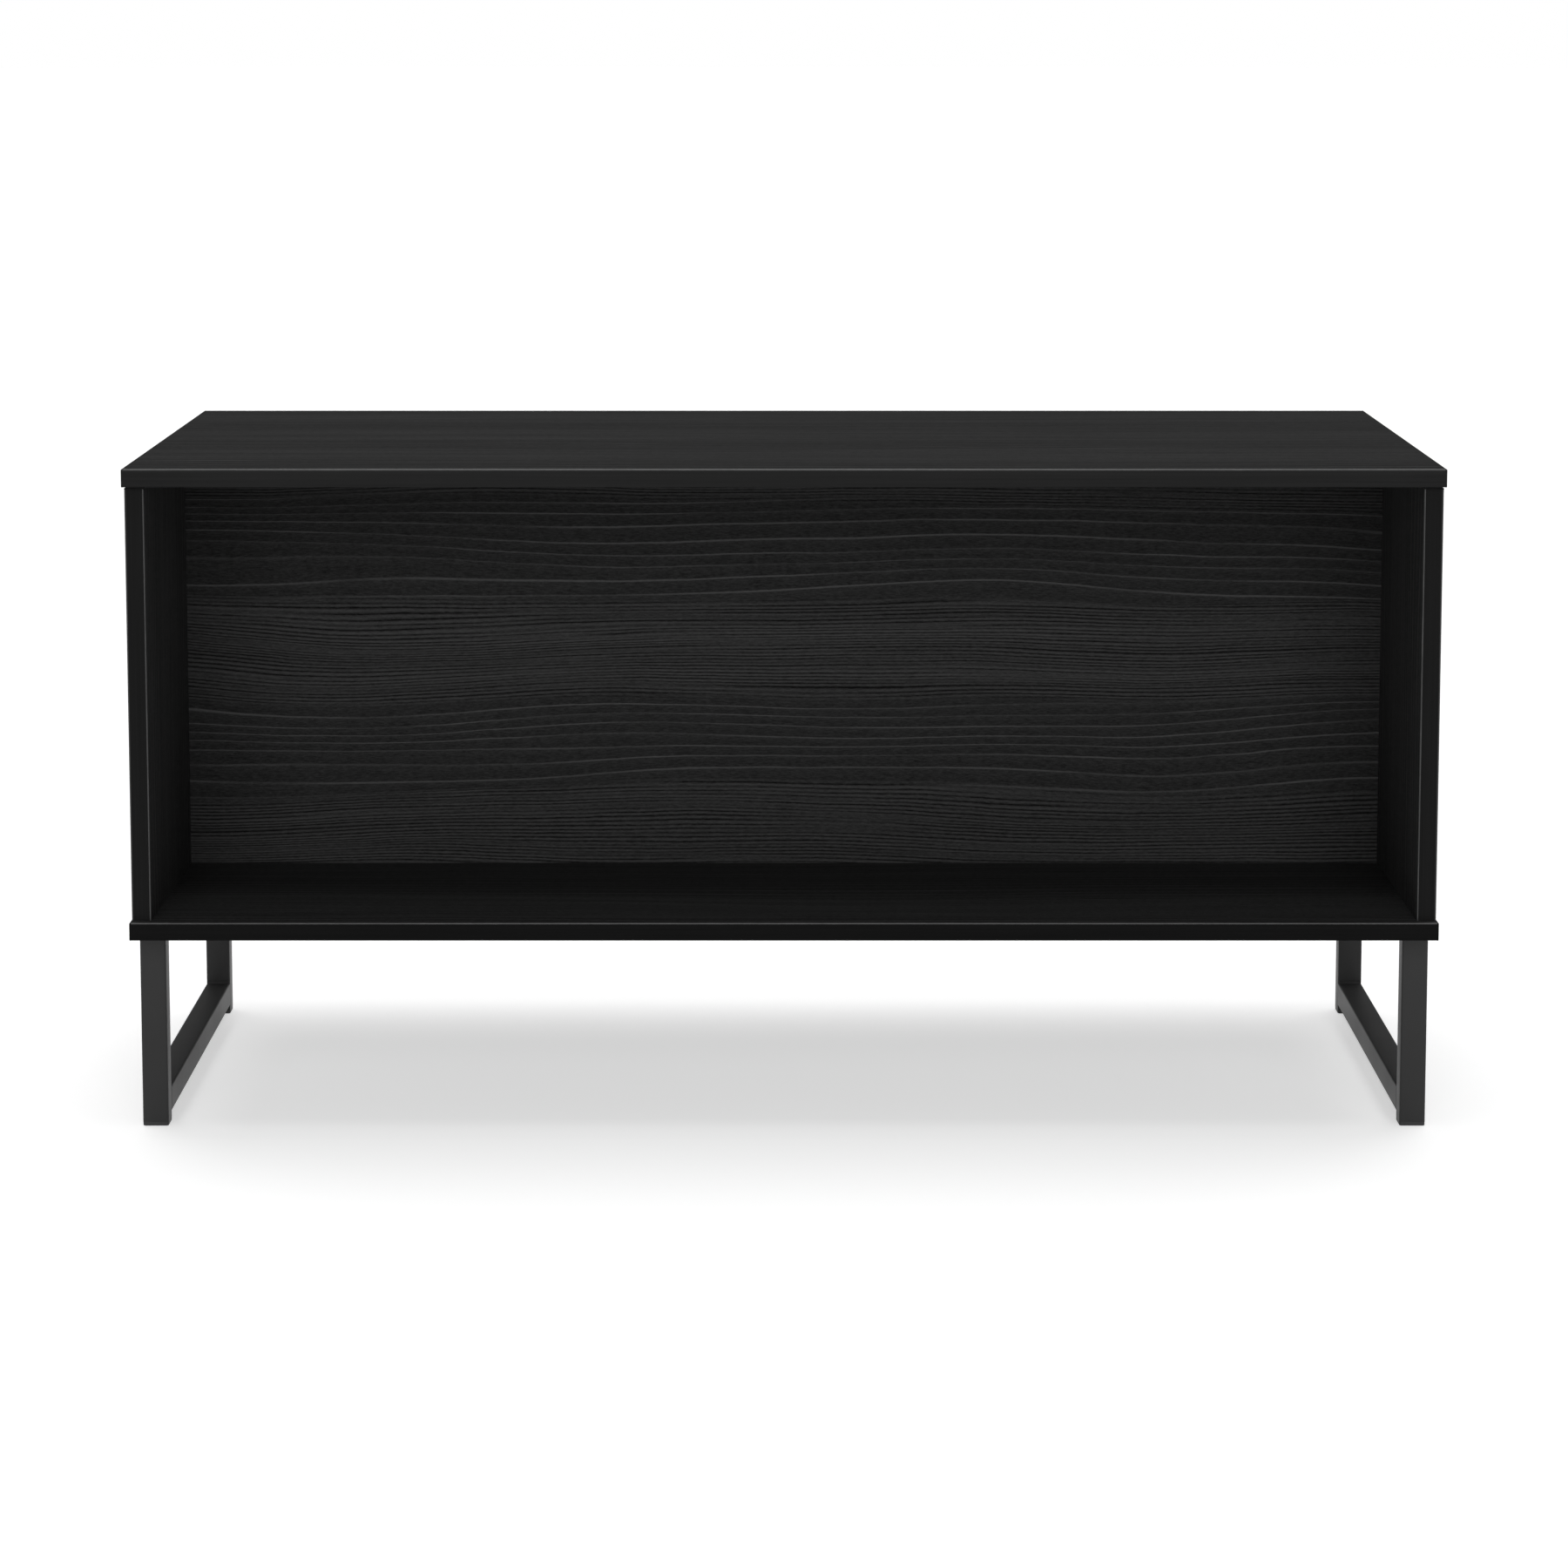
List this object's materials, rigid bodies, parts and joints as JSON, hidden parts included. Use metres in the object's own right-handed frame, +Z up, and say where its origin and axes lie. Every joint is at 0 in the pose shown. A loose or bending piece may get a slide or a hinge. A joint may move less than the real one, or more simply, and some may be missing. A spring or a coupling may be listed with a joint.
{
  "type": "lift top coffee table",
  "caption": "Low rectangular coffee table with an open front shelf, a rear storage well under a top that lifts up and forward on parallel arms, and two square-tube sled legs.",
  "frame": {"origin": "centre of the footprint on the floor, under the middle of the table", "axes": "+X to the right along the length, +Y from the open shelf to the back, +Z up; the open shelf faces -Y"},
  "size_m": [1, 0.5, 0.517],
  "materials": {
    "wood_top": "matte black-brown wood grain",
    "wood_board": "matte black-brown wood grain",
    "leg_paint": "satin charcoal powder coat",
    "zinc_steel": "zinc plated",
    "spring_steel": "oiled spring steel",
    "screw_zinc": "bright zinc",
    "black_plastic": "matte black"
  },
  "bodies": {
    "cabinet": {"bottom_slab": "wood_board", "side_panel_right": "wood_board", "side_panel_left": "wood_board", "centre_divider": "wood_board", "back_panel": "wood_board", "front_bumper_right": "black_plastic", "front_bumper_left": "black_plastic", "rear_bumper_right": "black_plastic", "rear_bumper_left": "black_plastic", "front_leg_right": "leg_paint", "front_leg_left": "leg_paint", "rear_leg_right": "leg_paint", "rear_leg_left": "leg_paint", "bottom_rail_right": "leg_paint", "bottom_rail_left": "leg_paint", "front_leg_plate_right": "leg_paint", "front_leg_plate_left": "leg_paint", "rear_leg_plate_right": "leg_paint", "rear_leg_plate_left": "leg_paint", "front_foot_right": "black_plastic", "front_foot_left": "black_plastic", "rear_foot_right": "black_plastic", "rear_foot_left": "black_plastic", "front_leg_screw_1_right": "screw_zinc", "front_leg_screw_1_left": "screw_zinc", "front_leg_screw_2_right": "screw_zinc", "front_leg_screw_2_left": "screw_zinc", "rear_leg_screw_1_right": "screw_zinc", "rear_leg_screw_1_left": "screw_zinc", "rear_leg_screw_2_right": "screw_zinc", "rear_leg_screw_2_left": "screw_zinc", "base_plate_right": "zinc_steel", "base_plate_left": "zinc_steel", "base_plate_screw_1_right": "screw_zinc", "base_plate_screw_1_left": "screw_zinc", "base_plate_screw_2_right": "screw_zinc", "base_plate_screw_2_left": "screw_zinc", "front_base_pin_right": "zinc_steel", "front_base_pin_left": "zinc_steel", "rear_base_pin_right": "zinc_steel", "rear_base_pin_left": "zinc_steel"},
    "front_arms": {"front_arm_right": "zinc_steel", "front_arm_left": "zinc_steel", "sync_bar": "zinc_steel", "torsion_spring_right": "spring_steel", "torsion_spring_left": "spring_steel"},
    "rear_arms": {"rear_arm_right": "zinc_steel", "rear_arm_left": "zinc_steel"},
    "top": {"top_slab": "wood_top", "top_bracket_right": "zinc_steel", "top_bracket_left": "zinc_steel", "front_bracket_screw_right": "screw_zinc", "front_bracket_screw_left": "screw_zinc", "rear_bracket_screw_right": "screw_zinc", "rear_bracket_screw_left": "screw_zinc", "front_top_pin_right": "zinc_steel", "front_top_pin_left": "zinc_steel", "rear_top_pin_right": "zinc_steel", "rear_top_pin_left": "zinc_steel"}
  },
  "joints": [
    {"name": "lift", "type": "hinge", "parent": "cabinet", "child": "front_arms", "pos_m": [0, 0.03, 0.472], "axis": [1, 0, 0], "range_deg": [0, 115]},
    {"name": "rear_arm_pivot", "type": "hinge", "parent": "cabinet", "child": "rear_arms", "pos_m": [0, 0.06307, 0.4417], "axis": [1, 0, 0], "range_deg": [0, 115]},
    {"name": "top_pivot", "type": "hinge", "parent": "front_arms", "child": "top", "pos_m": [0, 0.17568, 0.44631], "axis": [1, 0, 0], "range_deg": [-115, 0]}
  ],
  "couplings": [
    {"joint": "rear_arm_pivot", "follows": "lift", "ratio": 1},
    {"joint": "top_pivot", "follows": "lift", "ratio": -1}
  ]
}
